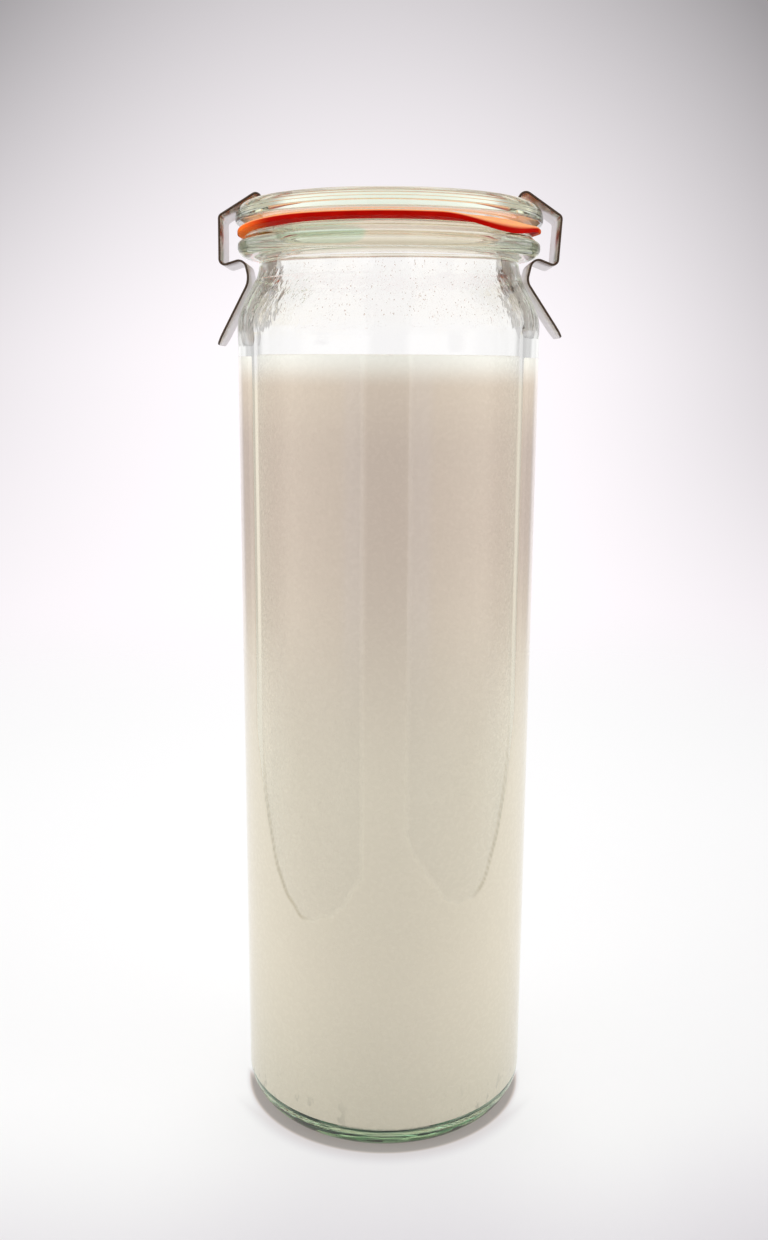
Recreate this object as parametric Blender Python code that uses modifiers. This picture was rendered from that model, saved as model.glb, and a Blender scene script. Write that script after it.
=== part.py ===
"""Tall preserving jar with its filling: glass lid, flat rubber ring and two sprung steel clamps.

Metres, +Z up. The jar stands on its foot ring at z = 0, with its axis on Z. One clamp hooks over
the lid at +X and one at -X. Profiles are lists of (radius, height) and run from the axis over the
top and down the outer side, so that the turned solids face outwards.
"""
import math

import bmesh
import bpy
from mathutils import Vector

# Flat rubber ring: its outer edge is flush with the mouth's bead, and sets the size of all that is round
RING_OUTER = 0.0335
RING_WIDTH = 0.0065
RING_THICKNESS = 0.0016
RING_EDGE_ROUND = 0.0004
SEAT_GAP = 0.0003

# The stretch of the ring's edge that sags over the bead, at the front right
SAG_MARGIN = 0.0004
SAG_CENTRE_DEG = -33
SAG_SPREAD_DEG = 41

# Glass jar
BODY_PROUD = 0.0003
WALL = 0.0041
JAR_HEIGHT = 0.2054
HEEL_RADIUS = 0.006
FLOOR_RADIUS = 0.0026
FOOT_WIDTH = 0.003
PUNT_DEPTH = 0.0015
BASE_THICKNESS = 0.0027

# Neck and shoulder
NECK_WALL = 0.0040
SHOULDER_HEIGHT = 0.014
INNER_SHOULDER_DROP = 0.0058
INNER_SHOULDER_HEIGHT = 0.008

# Mouth: a flat land with a round lip, and the bead that the clamps grip from below
BEAD_PROUD = 0.0046
BEAD_FLAT = 0.0004
BEAD_CORNER = 0.002
BEAD_TOP_ROUND = 0.0009
BEAD_TOP_DROP = 0.0025
BEAD_TOP_DEG = 65
LIP_STEP = 0.0016
LIP_ROUND = 0.001
MOUTH_ROUND = 0.0006
NECK_FILLET = 0.001

# Glass lid
LID_OVERHANG = 0.0004
LID_HEIGHT = 0.0042
LID_CORNER = 0.003
LID_LOWER_ROUND = 0.0005
RIM_WIDTH = 0.005
CREST_ROUND = 0.0008
RECESS_DEPTH = 0.0019
RECESS_FILLET = 0.0008
RIDGE_WIDTH = 0.0031
RIDGE_ROUND = 0.0005
RIDGE_GAP = 0.0004
UNDERSIDE_RISE = 0.0014
UNDERSIDE_SLOPE = 0.002

# Sprung steel clamps
STRIP_WIDTH = 0.015
STRIP_THICKNESS = 0.0007
STRIP_EDGE = 0.0001
STRIP_EDGE_DEG = 60
TIP_INSET = 0.00095
HOOK_REACH = 0.0027
HOOK_RISE = 0.0027
LIMB_GAP = 0.0032
LIMB_TOP_DROP = 0.0029
LIMB_FOOT_DROP = 0.0025
KNEE_GAP = 0.00045
KNEE_TUCK = 0.0022
WAIST_DROP = 0.0049
WAIST_GAP = 0.0001
TAB_DROP = 0.0134
TAB_ROUND = 0.003
HOOK_BEND = 0.0013
LIMB_TOP_BEND = 0.0018
LIMB_FOOT_BEND = 0.0015
KNEE_BEND = 0.0015
WAIST_BEND = 0.006
TAB_FLARE_SHARE = 1.1

# Filling
FILL_DROP = 0.006
FILL_EDGE = 0.0005
FILL_GAP = 0.0003

# Facets
TURN_STEPS = 56
SHOULDER_STEPS = 10
HEEL_STEPS = 6
CORNER_STEPS = 3
BEND_STEPS = 6
RING_STEPS = 90
MERGE_DISTANCE = 0.00001

# Sizes that follow from the ones above
BODY_RADIUS = RING_OUTER + BODY_PROUD
INNER_RADIUS = BODY_RADIUS - WALL
BEAD_RADIUS = RING_OUTER
NECK_RADIUS = BEAD_RADIUS - BEAD_PROUD
BORE_RADIUS = NECK_RADIUS - NECK_WALL
BEAD_BOTTOM = JAR_HEIGHT - BEAD_TOP_DROP - BEAD_FLAT - BEAD_CORNER
LIP_RADIUS = BEAD_RADIUS - LIP_STEP
SHOULDER_TOP = BEAD_BOTTOM - NECK_FILLET
SHOULDER_FOOT = SHOULDER_TOP - SHOULDER_HEIGHT
FLOOR_HEIGHT = PUNT_DEPTH + BASE_THICKNESS
RING_INNER = RING_OUTER - RING_WIDTH
RING_BOTTOM = JAR_HEIGHT + SEAT_GAP
RING_TOP = RING_BOTTOM + RING_THICKNESS
LID_RADIUS = RING_OUTER + LID_OVERHANG
RIM_BOTTOM = RING_TOP + SEAT_GAP
CREST_HEIGHT = RIM_BOTTOM + LID_HEIGHT
RECESS_HEIGHT = CREST_HEIGHT - RECESS_DEPTH
RECESS_RADIUS = LID_RADIUS - RIM_WIDTH
RIDGE_RADIUS = RING_INNER - RIDGE_GAP
RIDGE_BOTTOM = RIM_BOTTOM - RING_THICKNESS

PARTS = bpy.data.collections.new("cylinder_jar")


def arc(centre, radius, start_deg, end_deg, steps):
    """Points of an arc in the profile plane, both ends included."""
    points = []
    for step in range(steps + 1):
        angle = math.radians(start_deg + (end_deg - start_deg) * step / steps)
        points.append((centre[0] + radius * math.cos(angle), centre[1] + radius * math.sin(angle)))
    return points


def ease(share):
    """Smooth step from 0 to 1, level at both ends."""
    share = min(max(share, 0), 1)
    return (1 - math.cos(math.pi * share)) / 2


def shoulder(top, foot, steps):
    """S-curve from one (radius, height) to another, upright at both ends."""
    points = []
    for step in range(steps + 1):
        share = step / steps
        radius = top[0] + (foot[0] - top[0]) * ease(share)
        points.append((radius, top[1] + (foot[1] - top[1]) * share))
    return points


def shoulder_radius(height):
    """Outer radius of the neck and shoulder at a height."""
    share = (SHOULDER_TOP - height) / SHOULDER_HEIGHT
    return NECK_RADIUS + (BODY_RADIUS - NECK_RADIUS) * ease(share)


def jar_inside():
    """Floor, wall, shoulder and bore, from the axis up to the mouth."""
    points = [(0, FLOOR_HEIGHT)]
    floor_centre = (INNER_RADIUS - FLOOR_RADIUS, FLOOR_HEIGHT + FLOOR_RADIUS)
    points += arc(floor_centre, FLOOR_RADIUS, -90, 0, HEEL_STEPS)
    inner_top = (BORE_RADIUS, SHOULDER_TOP - INNER_SHOULDER_DROP)
    inner_foot = (INNER_RADIUS, SHOULDER_TOP - INNER_SHOULDER_DROP - INNER_SHOULDER_HEIGHT)
    points += shoulder(inner_foot, inner_top, SHOULDER_STEPS)
    points += arc((BORE_RADIUS + MOUTH_ROUND, JAR_HEIGHT - MOUTH_ROUND), MOUTH_ROUND, 180, 90, CORNER_STEPS)
    return points


def jar_finish():
    """Lip and bead, from the land down to the neck."""
    points = arc((LIP_RADIUS - LIP_ROUND, JAR_HEIGHT - LIP_ROUND), LIP_ROUND, 90, 0, CORNER_STEPS)
    bead_top = (BEAD_RADIUS - BEAD_TOP_ROUND, JAR_HEIGHT - BEAD_TOP_DROP)
    points += arc(bead_top, BEAD_TOP_ROUND, BEAD_TOP_DEG, 0, CORNER_STEPS)
    points += arc((BEAD_RADIUS - BEAD_CORNER, BEAD_BOTTOM + BEAD_CORNER), BEAD_CORNER, 0, -90, HEEL_STEPS)
    points += arc((NECK_RADIUS + NECK_FILLET, SHOULDER_TOP), NECK_FILLET, 90, 180, CORNER_STEPS)
    return points


def jar_foot():
    """Heel, foot ring and the shallow punt under the base."""
    points = arc((BODY_RADIUS - HEEL_RADIUS, HEEL_RADIUS), HEEL_RADIUS, 0, -90, HEEL_STEPS)
    foot_inner = BODY_RADIUS - HEEL_RADIUS - FOOT_WIDTH
    for step in range(HEEL_STEPS + 1):
        angle = math.radians(90 * step / HEEL_STEPS)
        points.append((foot_inner * math.cos(angle), PUNT_DEPTH * math.sin(angle)))
    return points


def jar_profile():
    outside = shoulder((NECK_RADIUS, SHOULDER_TOP), (BODY_RADIUS, SHOULDER_FOOT), SHOULDER_STEPS)
    return jar_inside() + jar_finish() + outside + jar_foot()


def lid_profile():
    """Recessed top inside a round crest, a round shoulder, a flat rim and a ridge in the ring's hole."""
    points = [(0, RECESS_HEIGHT)]
    fillet_centre = (RECESS_RADIUS - RECESS_FILLET, RECESS_HEIGHT + RECESS_FILLET)
    points += arc(fillet_centre, RECESS_FILLET, -90, 0, CORNER_STEPS)
    points += arc((RECESS_RADIUS + CREST_ROUND, CREST_HEIGHT - CREST_ROUND), CREST_ROUND, 180, 90, CORNER_STEPS)
    points += arc((LID_RADIUS - LID_CORNER, CREST_HEIGHT - LID_CORNER), LID_CORNER, 90, 0, HEEL_STEPS)
    lower_centre = (LID_RADIUS - LID_LOWER_ROUND, RIM_BOTTOM + LID_LOWER_ROUND)
    points += arc(lower_centre, LID_LOWER_ROUND, 0, -90, CORNER_STEPS)
    points.append((RIDGE_RADIUS, RIM_BOTTOM))
    points += arc((RIDGE_RADIUS - RIDGE_ROUND, RIDGE_BOTTOM + RIDGE_ROUND), RIDGE_ROUND, 0, -90, CORNER_STEPS)
    ridge_inner = RIDGE_RADIUS - RIDGE_WIDTH
    points.append((ridge_inner, RIDGE_BOTTOM))
    points.append((ridge_inner - UNDERSIDE_SLOPE, RIDGE_BOTTOM + UNDERSIDE_RISE))
    points.append((0, RIDGE_BOTTOM + UNDERSIDE_RISE))
    return points


def ring_profile():
    """Closed outline of the ring's cross-section, down its outer side first."""
    land_edge = LIP_RADIUS - LIP_ROUND
    outer_top = arc((RING_OUTER - RING_EDGE_ROUND, RING_TOP - RING_EDGE_ROUND), RING_EDGE_ROUND, 90, 0, CORNER_STEPS)
    outer_low = arc((RING_OUTER - RING_EDGE_ROUND, RING_BOTTOM + RING_EDGE_ROUND), RING_EDGE_ROUND, 0, -90, CORNER_STEPS)
    flat = []
    for step in range(HEEL_STEPS):
        flat.append(land_edge + (RING_OUTER - RING_EDGE_ROUND - land_edge) * step / HEEL_STEPS)
    top = [(RING_INNER, RING_TOP)] + [(radius, RING_TOP) for radius in flat]
    low = [(radius, RING_BOTTOM) for radius in reversed(flat)] + [(RING_INNER, RING_BOTTOM)]
    return top + outer_top + outer_low + low


def filling_profile():
    """Filling: clear of the glass, with a round lower edge and a soft upper one."""
    radius = INNER_RADIUS - FILL_GAP
    top = SHOULDER_FOOT - FILL_DROP
    low = FLOOR_HEIGHT + FILL_GAP
    low_round = FLOOR_RADIUS - FILL_GAP
    points = [(0, top)]
    points += arc((radius - FILL_EDGE, top - FILL_EDGE), FILL_EDGE, 90, 0, CORNER_STEPS)
    points += arc((radius - low_round, low + low_round), low_round, 0, -90, HEEL_STEPS)
    points.append((0, low))
    return points


def new_object(name, mesh, material):
    thing = bpy.data.objects.new(name, mesh)
    mesh.materials.append(material)
    PARTS.objects.link(thing)
    return thing


def material(name, colour, roughness, metallic=0, transmission=0):
    finish = bpy.data.materials.new(name)
    finish.use_nodes = True
    shader = finish.node_tree.nodes["Principled BSDF"]
    shader.inputs["Base Color"].default_value = (*colour, 1)
    shader.inputs["Roughness"].default_value = roughness
    shader.inputs["Metallic"].default_value = metallic
    shader.inputs["Transmission Weight"].default_value = transmission
    return finish


def turned(name, profile, finish, steps=TURN_STEPS, closed=False):
    """Solid of revolution about Z, from a profile at +X."""
    mesh = bpy.data.meshes.new(name)
    points = [(radius, 0, height) for radius, height in profile]
    edges = [(index, index + 1) for index in range(len(points) - 1)]
    if closed:
        edges.append((len(points) - 1, 0))
    mesh.from_pydata(points, edges, [])
    thing = new_object(name, mesh, finish)
    screw = thing.modifiers.new("turn", "SCREW")
    screw.steps = steps
    screw.render_steps = steps
    screw.use_merge_vertices = True
    screw.merge_threshold = MERGE_DISTANCE
    screw.use_smooth_shade = True
    return thing


def made_mesh(thing):
    """Replace the object's mesh by what its modifiers make."""
    graph = bpy.context.evaluated_depsgraph_get()
    mesh = bpy.data.meshes.new_from_object(thing.evaluated_get(graph))
    thing.modifiers.clear()
    thing.data = mesh
    return mesh


def sag(x, y):
    """How far the ring's edge hangs down at a place, following the lip and the bead."""
    off_centre = abs(math.degrees(math.atan2(y, x)) - SAG_CENTRE_DEG) / SAG_SPREAD_DEG
    land_edge = LIP_RADIUS - LIP_ROUND
    out = max(math.hypot(x, y) - land_edge, 0) / (BEAD_RADIUS - land_edge)
    depth = BEAD_TOP_DROP - SAG_MARGIN
    return depth * ease(1 - off_centre) * out ** 1.5


def sealing_ring(finish):
    ring = turned("sealing_ring", ring_profile(), finish, RING_STEPS, closed=True)
    mesh = made_mesh(ring)
    for vertex in mesh.vertices:
        vertex.co.z -= sag(vertex.co.x, vertex.co.y)
    return ring


def hook_tip():
    """Where the strip's end stands in the lid's recess, clear of its round wall at both edges."""
    half_width = STRIP_WIDTH / 2
    tip_x = math.sqrt(RECESS_RADIUS ** 2 - half_width ** 2) - TIP_INSET - STRIP_THICKNESS / 2
    return Vector((tip_x, RECESS_HEIGHT + SEAT_GAP + STRIP_THICKNESS / 2))


def clamp_knots():
    """Corners of the strip's centre line in the X-Z plane, with the bend radius at each."""
    half = STRIP_THICKNESS / 2
    tip = hook_tip()
    limb_x = LID_RADIUS + LIMB_GAP
    knee_z = BEAD_BOTTOM - KNEE_GAP - half
    waist_z = BEAD_BOTTOM - WAIST_DROP
    flare = math.pi / 2 * (BODY_RADIUS - NECK_RADIUS) / SHOULDER_HEIGHT * TAB_FLARE_SHARE
    waist_x = shoulder_radius(waist_z) + (WAIST_GAP + half) * math.hypot(1, flare)
    return [
        (tip, None),
        (Vector((tip.x + HOOK_REACH, CREST_HEIGHT + HOOK_RISE)), HOOK_BEND),
        (Vector((limb_x, CREST_HEIGHT - LIMB_TOP_DROP)), LIMB_TOP_BEND),
        (Vector((limb_x, BEAD_BOTTOM - LIMB_FOOT_DROP)), LIMB_FOOT_BEND),
        (Vector((BEAD_RADIUS - KNEE_TUCK, knee_z)), KNEE_BEND),
        (Vector((waist_x, waist_z)), WAIST_BEND),
        (Vector((waist_x + TAB_DROP * flare, waist_z - TAB_DROP)), None),
    ]


def bend(before, corner, after, radius):
    """Points of the arc that rounds one corner of the centre line."""
    towards_before = (before - corner).normalized()
    towards_after = (after - corner).normalized()
    half_angle = towards_before.angle(towards_after) / 2
    centre = corner + (towards_before + towards_after).normalized() * radius / math.sin(half_angle)
    start = corner + towards_before * radius / math.tan(half_angle) - centre
    end = corner + towards_after * radius / math.tan(half_angle) - centre
    turn = start.angle_signed(end)
    points = []
    for step in range(BEND_STEPS + 1):
        angle = -turn * step / BEND_STEPS
        cos, sin = math.cos(angle), math.sin(angle)
        points.append(centre + Vector((start.x * cos - start.y * sin, start.x * sin + start.y * cos)))
    return points


def clamp_line():
    """Centre line of the strip, from the hook's tip over the lid and under the bead to the tab's end."""
    knots = clamp_knots()
    points = [knots[0][0]]
    for index in range(1, len(knots) - 1):
        corner, radius = knots[index]
        points += bend(knots[index - 1][0], corner, knots[index + 1][0], radius)
    points.append(knots[-1][0])
    return points


def clamp_rows():
    """Centre line points with the strip's half width at each, narrowed round the tab's end."""
    line = clamp_line()
    half_width = STRIP_WIDTH / 2
    along_tab = (line[-1] - line[-2]).normalized()
    rows = [(point, half_width) for point in line[:-1]]
    for step in range(HEEL_STEPS + 1):
        angle = math.radians(90 * step / HEEL_STEPS)
        point = line[-1] - along_tab * TAB_ROUND * (1 - math.sin(angle))
        rows.append((point, half_width - TAB_ROUND * (1 - math.cos(angle))))
    return rows


def swing_axis():
    """Hinge of a clamp: a line across the strip at its hook's end."""
    tip = hook_tip()
    return Vector((tip.x, 0, tip.y))


def clamp(name, side, finish, carrier):
    """One clamp: a ribbon along the centre line, given its thickness, with its edges broken."""
    axis = swing_axis()
    ribbon = bmesh.new()
    rows = []
    for point, half_width in clamp_rows():
        x, z = point.x - axis.x, point.y - axis.z
        rows.append([ribbon.verts.new((x, y, z)) for y in (-half_width, half_width)])
    for upper, lower in zip(rows, rows[1:]):
        ribbon.faces.new((upper[0], upper[1], lower[1], lower[0]))
    mesh = bpy.data.meshes.new(name)
    ribbon.to_mesh(mesh)
    ribbon.free()
    strip = new_object(name, mesh, finish)
    strip.location = (side * axis.x, 0, axis.z)
    strip.rotation_euler = (0, 0, 0 if side > 0 else math.pi)
    strip.parent = carrier
    strip.matrix_parent_inverse = carrier.matrix_world.inverted()
    solid = strip.modifiers.new("thickness", "SOLIDIFY")
    solid.thickness = STRIP_THICKNESS
    solid.offset = 0
    solid.use_even_offset = True
    edges = strip.modifiers.new("edges", "BEVEL")
    edges.width = STRIP_EDGE
    edges.segments = 1
    edges.limit_method = "ANGLE"
    edges.angle_limit = math.radians(STRIP_EDGE_DEG)
    return strip


def main():
    for thing in list(bpy.data.objects):
        bpy.data.objects.remove(thing, do_unlink=True)
    bpy.context.scene.collection.children.link(PARTS)

    clear_glass = material("clear_glass", (0.93, 0.97, 0.94), 0.02, transmission=1)
    red_rubber = material("red_rubber", (0.75, 0.08, 0.01), 0.45)
    spring_steel = material("spring_steel", (0.52, 0.5, 0.49), 0.28, metallic=1)
    white_filling = material("white_filling", (0.82, 0.78, 0.7), 0.35)

    turned("jar_body", jar_profile(), clear_glass)
    turned("filling", filling_profile(), white_filling)

    lift_axis = bpy.data.objects.new("lid_lift_axis", None)
    lift_axis.location = (0, 0, JAR_HEIGHT)
    PARTS.objects.link(lift_axis)
    bpy.context.view_layer.update()

    lid = turned("lid", lid_profile(), clear_glass)
    ring = sealing_ring(red_rubber)
    for thing in (lid, ring):
        thing.parent = lift_axis
        thing.matrix_parent_inverse = lift_axis.matrix_world.inverted()
    clamp("clamp_right", 1, spring_steel, lift_axis)
    clamp("clamp_left", -1, spring_steel, lift_axis)


main()
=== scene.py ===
"""Looks of the preserving jar: glass, filling, lid, rubber ring, sprung clamps, droplets and the stage.

Metres, +Z up. The jar stands on the origin, the clamps lie along X and the camera looks along +Y.
A profile is a list of (radius, height), and runs from the axis to the axis, or round in a loop.
A ramp is a smooth step: its start and end, and its values there where they aren't 0 and 1.
"""
import math

import bmesh
import bpy
from bpy.props import FloatProperty, FloatVectorProperty, IntProperty, PointerProperty
from mathutils import Matrix, Vector, noise


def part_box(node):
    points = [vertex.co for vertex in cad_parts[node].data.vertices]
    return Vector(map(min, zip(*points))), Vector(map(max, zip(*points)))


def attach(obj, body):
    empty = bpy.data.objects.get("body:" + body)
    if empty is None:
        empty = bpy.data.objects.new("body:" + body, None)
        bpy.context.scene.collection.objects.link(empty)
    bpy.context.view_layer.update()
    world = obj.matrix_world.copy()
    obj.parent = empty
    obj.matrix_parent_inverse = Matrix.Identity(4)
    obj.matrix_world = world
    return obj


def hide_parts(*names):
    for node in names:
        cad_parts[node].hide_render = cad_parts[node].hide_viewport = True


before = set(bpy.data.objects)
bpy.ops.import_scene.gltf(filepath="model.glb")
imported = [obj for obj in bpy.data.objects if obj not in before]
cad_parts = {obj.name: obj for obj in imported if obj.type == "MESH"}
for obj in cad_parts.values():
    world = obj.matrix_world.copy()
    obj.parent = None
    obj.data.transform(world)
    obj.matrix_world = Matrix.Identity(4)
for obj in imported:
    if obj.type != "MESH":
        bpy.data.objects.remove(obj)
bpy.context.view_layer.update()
MM = 0.001

bl_info = {
    "name": "Preserving jar",
    "version": (1, 0, 0),
    "blender": (4, 5, 0),
    "location": "View3D > Sidebar > Preserving jar",
    "description": "Builds a clamped glass preserving jar with its filling, and a pale stage",
    "category": "Object",
}

JAR_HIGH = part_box("jar_body")[1]
RING_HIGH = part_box("sealing_ring")[1]
LID_LOW, LID_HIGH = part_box("lid")
FILLING_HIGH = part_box("filling")[1]
WALL = 4.1 * MM
INNER_RADIUS = JAR_HIGH[0] - WALL

# Facets
AROUND = 192
RING_AROUND = 288
FILLING_AROUND = 384
LONGEST = 4 * MM
SUPPORT = 0.12 * MM
SHORTEST_CUT = 6 * SUPPORT
SHOULDER_STEPS = 56
ROUND_STEPS = 14
BEAD_STEPS = 12
EDGE_STEPS = 6

# Jar glass
FLOOR_ROUND = 1.3 * MM
HEEL_ROUND = 6.2 * MM
HEEL_TALLNESS = 1.2
FOOT_WIDTH = 3 * MM
PUNT_DEPTH = 1.5 * MM
BASE_THICKNESS = 2.7 * MM
NECK_WALL = 4 * MM
SHOULDER_HEIGHT = 14 * MM
INNER_SHOULDER_DROP = 1.6 * MM
INNER_SHOULDER_HEIGHT = 13.4 * MM
INNER_SHOULDER_TILT = 0.3 * MM
INNER_MARGIN = 0.1 * MM
NECK_BULGE = 0.05 * MM
NECK_BULGE_HEIGHT = 3 * MM
BEAD_PROUD = 4.6 * MM
BEAD_CORNER = 2 * MM
BEAD_HEIGHT = 4.9 * MM
BEAD_TOP_DROP = 2.5 * MM
BEAD_TOP_ROUND = 0.9 * MM
BEAD_TOP_DEG = 65
LIP_STEP = 1.6 * MM
LIP_ROUND = 1 * MM
NECK_FILLET = 1 * MM
MOUTH_ROUND = 0.6 * MM
RIPPLE = 0.02 * MM
RIPPLE_LENGTH = 5 * MM
RIPPLE_FLATNESS = 0.7
RIPPLE_REACH = 1.8

# Ring; a sag has its middle and its reach to a side, in degrees, and its depth
RING_WIDTH = 6.5 * MM
RING_THICKNESS = 1.6 * MM
RING_EDGE_ROUND = 0.5 * MM
RING_SLACK = 0.1 * MM
SEEN_THICKNESS = 1.1 * MM
SAG_STRETCH = 1.2
SAG_CURVE = 1.5
SAGS = [(-44, 29, 1.85 * MM), (-20, 32, 0.75 * MM), (180, 60, 1 * MM)]

# Lid glass
LID_CORNER = 3 * MM
LID_LOWER_ROUND = 0.5 * MM
CREST_ROUND = 0.8 * MM
RIM_WIDTH = 5 * MM
RECESS_DEPTH = 1.9 * MM
RECESS_FILLET = 0.8 * MM
RIDGE_WIDTH = 3.1 * MM
RIDGE_ROUND = 0.5 * MM
RIDGE_GAP = 0.4 * MM
RIDGE_OUTER = RING_HIGH[0] - RING_WIDTH - RIDGE_GAP
UNDERSIDE_RISE = 1.4 * MM
UNDERSIDE_SLOPE = 2 * MM

# Filling
FILM = 0.05 * MM
AIR_GAP = 0.25 * MM
FLOOR_AIR = 0.15 * MM
RIM_ROUND = 0.6 * MM
TIDE_BAND = 0.8 * MM
TIDE_TOP = 104 * MM
TIDE_LOW = 52 * MM
TIDE_ROW = 0.35 * MM

# Bays at the front where the filling has come off the glass: in degrees from the front, to the right,
# the outer edge, the lowest place and the inner edge; then the lowest height and the rise to each edge
BAYS = [
    (-66, -32, -9, 54.4 * MM, 42 * MM, 12 * MM),
    (65, 34, 7.8, 58.7 * MM, 42 * MM, 18 * MM),
]
OUTER_CURVE = 2.5
INNER_CURVE = 2

# Waves of the bays' edges: height, pace in radians to a degree, and start
TIDE_WAVES = [(0.4 * MM, 0.4, 0), (0.25 * MM, 0.9, 1)]

# Clamps: corners of each strip's centre line as (x, z), with the bend's radius, in mm
LEFT_CLAMP = [
    ((26.6, 210.45), 0),
    ((28.35, 213.95), 1.1),
    ((36.75, 208.8), 1),
    ((36.85, 198.25), 1.1),
    ((31.45, 199.98), 1.7),
    ((30.45, 195.3), 5),
    ((37.7, 181.6), 0),
]
RIGHT_CLAMP = [
    ((26.6, 210.45), 0),
    ((28.9, 214.6), 1.4),
    ((37.25, 209), 1.1),
    ((36.65, 198.5), 1.1),
    ((31.3, 200.55), 1.7),
    ((30.1, 195.4), 3),
    ((38.2, 183.6), 0),
]
BEND_STEPS = 10
STRIP_FACET = 0.8 * MM
STRIP_CORNER = 0.12 * MM
STRIP_FLAT_SIDES = (3, 7)
TAB_ROUND = 3 * MM
TAB_STEPS = 8
TAB_CEILING = 0.19

# Droplets: the least of the draws whose squares are their sizes; length and thickness for a width of 1
DROPLET_LEAST = 0.25
DROPLET_LENGTH = 1.25
DROPLET_THICKNESS = 0.3
DROPLET_MARGIN = 1 * MM
DROPLET_INSET = 0.02 * MM

# Looks of the glass: colours, ramps of places, strengths
WHITE = (1, 1, 1, 1)
# Painted refraction in the bead: its beige, its lighter ends and its green lens
BEAD_PAINTED_BEIGE = (0.83, 0.76, 0.635, 1)
BEAD_PAINTED_ENDS = (1, 0.94, 0.93, 1)
PAINTED_LENS_GREEN = (0.56, 0.7, 0.55, 1)
# The heel's dark green is partly the glass's tint and partly painted dark reflection; its light streaks are
# painted glints, its dashes painted dark reflections
HEEL_DARK = (0.03, 0.15, 0.05, 1)
HEEL_PAINTED_GLINTS = (0.5, 0.85, 0.55, 1)
HEEL_PAINTED_DARK_REFLECTIONS = (0.001, 0.006, 0.002, 1)
LIGHT_PASSING = (0.98, 0.98, 0.98, 1)
LENS_CENTRE = (-12 * MM, 202.9 * MM)
LENS_RADII = (8 * MM, 1.7 * MM)
LENS_RIM = (0.75, 1.05)
LENS_END = (-25 * MM, -22 * MM)
FRONT_HALF = (-5 * MM, 5 * MM)
BEAD_SIDES = (18 * MM, 26 * MM)
BEAD_FOOT = (201.8 * MM, 202.7 * MM)
BEAD_TOP = (206 * MM, 206.5 * MM)
HEEL_TOP = (4.5 * MM, 5.1 * MM)
CRUMPLE_FOOT = (183 * MM, 187 * MM)
CRUMPLE_TOP = (195.5 * MM, 198 * MM)
CRUMPLE_TO_RIGHT = (0, 20 * MM, 11, 6)
SMEARS = (0.45, 0.75, 0, 0.008)
GLASS_DENSITY = 8
JAR_WAVES = 0.012 * MM
LID_WAVES = 0.02 * MM

# Looks of the filling, in the same order
CREAM_FOOT = (0.64, 0.58, 0.47, 1)
CREAM_LOWER = (0.755, 0.672, 0.55, 1)
CREAM_UPPER = (0.73, 0.6, 0.5, 1)
# Painted light from above that makes the filling palest at its surface
CREAM_PAINTED_TOP_LIGHT = (1, 0.96, 0.89, 1)
CREAM_CLOUDS = (0.7, 0.61, 0.52, 1)
# Painted brown shade along the tide line, strengthening the shade of the filling's edge there
TIDE_PAINTED_SHADE = (0.44, 0.35, 0.2, 1)
# Painted shade that darkens the filling at its sides in its upper part
SIDE_PAINTED_SHADE = (0.05, 0, 0.1, 1)
SCUFF_GREY = (0.36, 0.33, 0.27, 1)
# Painted brown shade on the filling's lowest edge, under it
UNDERSIDE_PAINTED_SHADE = (0.42, 0.2, 0.07, 1)
LOWER_HEIGHTS = (0, 45 * MM)
PINK_HEIGHTS = (80 * MM, 150 * MM)
UPPER_HEIGHTS = (FILLING_HIGH[2] - 22 * MM, FILLING_HIGH[2] - 2 * MM)
TOP_LIGHT_HEIGHTS = (FILLING_HIGH[2] - 7 * MM, FILLING_HIGH[2])
TIDE_SHADE_LEFT = (-18.5 * MM, -15.5 * MM)
TIDE_SHADE_RIGHT = (18.5 * MM, 20.5 * MM)
TIDE_SHADE_HEIGHTS = (85 * MM, 110 * MM, 0.6, 0.25)
SHADED_SIDES = (26.6 * MM, 27.6 * MM)
SHADED_SIDE_HEIGHTS = (110 * MM, 145 * MM)
SCUFF_SIDES = (4 * MM, 12 * MM)
SCUFF_HEIGHTS = (5 * MM, 15 * MM, 0.5, 0)
CREAM_FLOOR = PUNT_DEPTH + BASE_THICKNESS + FLOOR_AIR + 0.1 * MM
# Heights of the painted shade under the filling
UNDERSIDE_SHADE_HEIGHTS = (CREAM_FLOOR, CREAM_FLOOR + 0.4 * MM)
CLOUDS_SHARE = 0.25
SIDE_SHADE_SHARE = 0.18
CURD_DEPTH = 0.002 * MM

# Looks of the ring, the clamps and the splashes, in the same order
RUBBER_MOTTLED = (0.43, 0.004, 0.001, 1)
# Painted glow of light through the ring's ends, left and right
RUBBER_PAINTED_GLOW = (1, 0.17, 0.02, 1)
# Painted sheen on the ring's upward flat faces
RUBBER_PAINTED_SHEEN = (1, 0.41, 0.18, 1)
STEEL_STAINED = (0.56, 0.52, 0.5, 1)
STEEL_SHEARED = (0.09, 0.065, 0.05, 1)
SPLASH_DARK = (0.68, 0.5, 0.4, 1)
SPLASH_LIGHT = (0.95, 0.85, 0.78, 1)
GLOW_LEFT = (-33 * MM, -24 * MM)
GLOW_RIGHT = (31.8 * MM, 33.4 * MM)
FLAT_FACES = (0.25, 0.75)
ROLLED_LINES = (60, 5200, 60)
RUBBER_GRAIN = 0.012 * MM
STEEL_GRAIN = 0.006 * MM

# Floor: its disc and colours, then ramps of its painted brightness and painted shadows to the back, to the
# sides and from the axis
FLOOR_RADIUS = 0.7
FLOOR_DROP = 0.05 * MM
FLOOR_FADE = (0.3, FLOOR_RADIUS)
FLOOR_GLOW = 0.65
FLOOR_DIM = (0.98, 0.94, 1, 1)
FLOOR_SHADOW = (1, 0.84, 0.75, 1)
FLOOR_PAPER = (0.88, 0.87, 0.88, 1)
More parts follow.
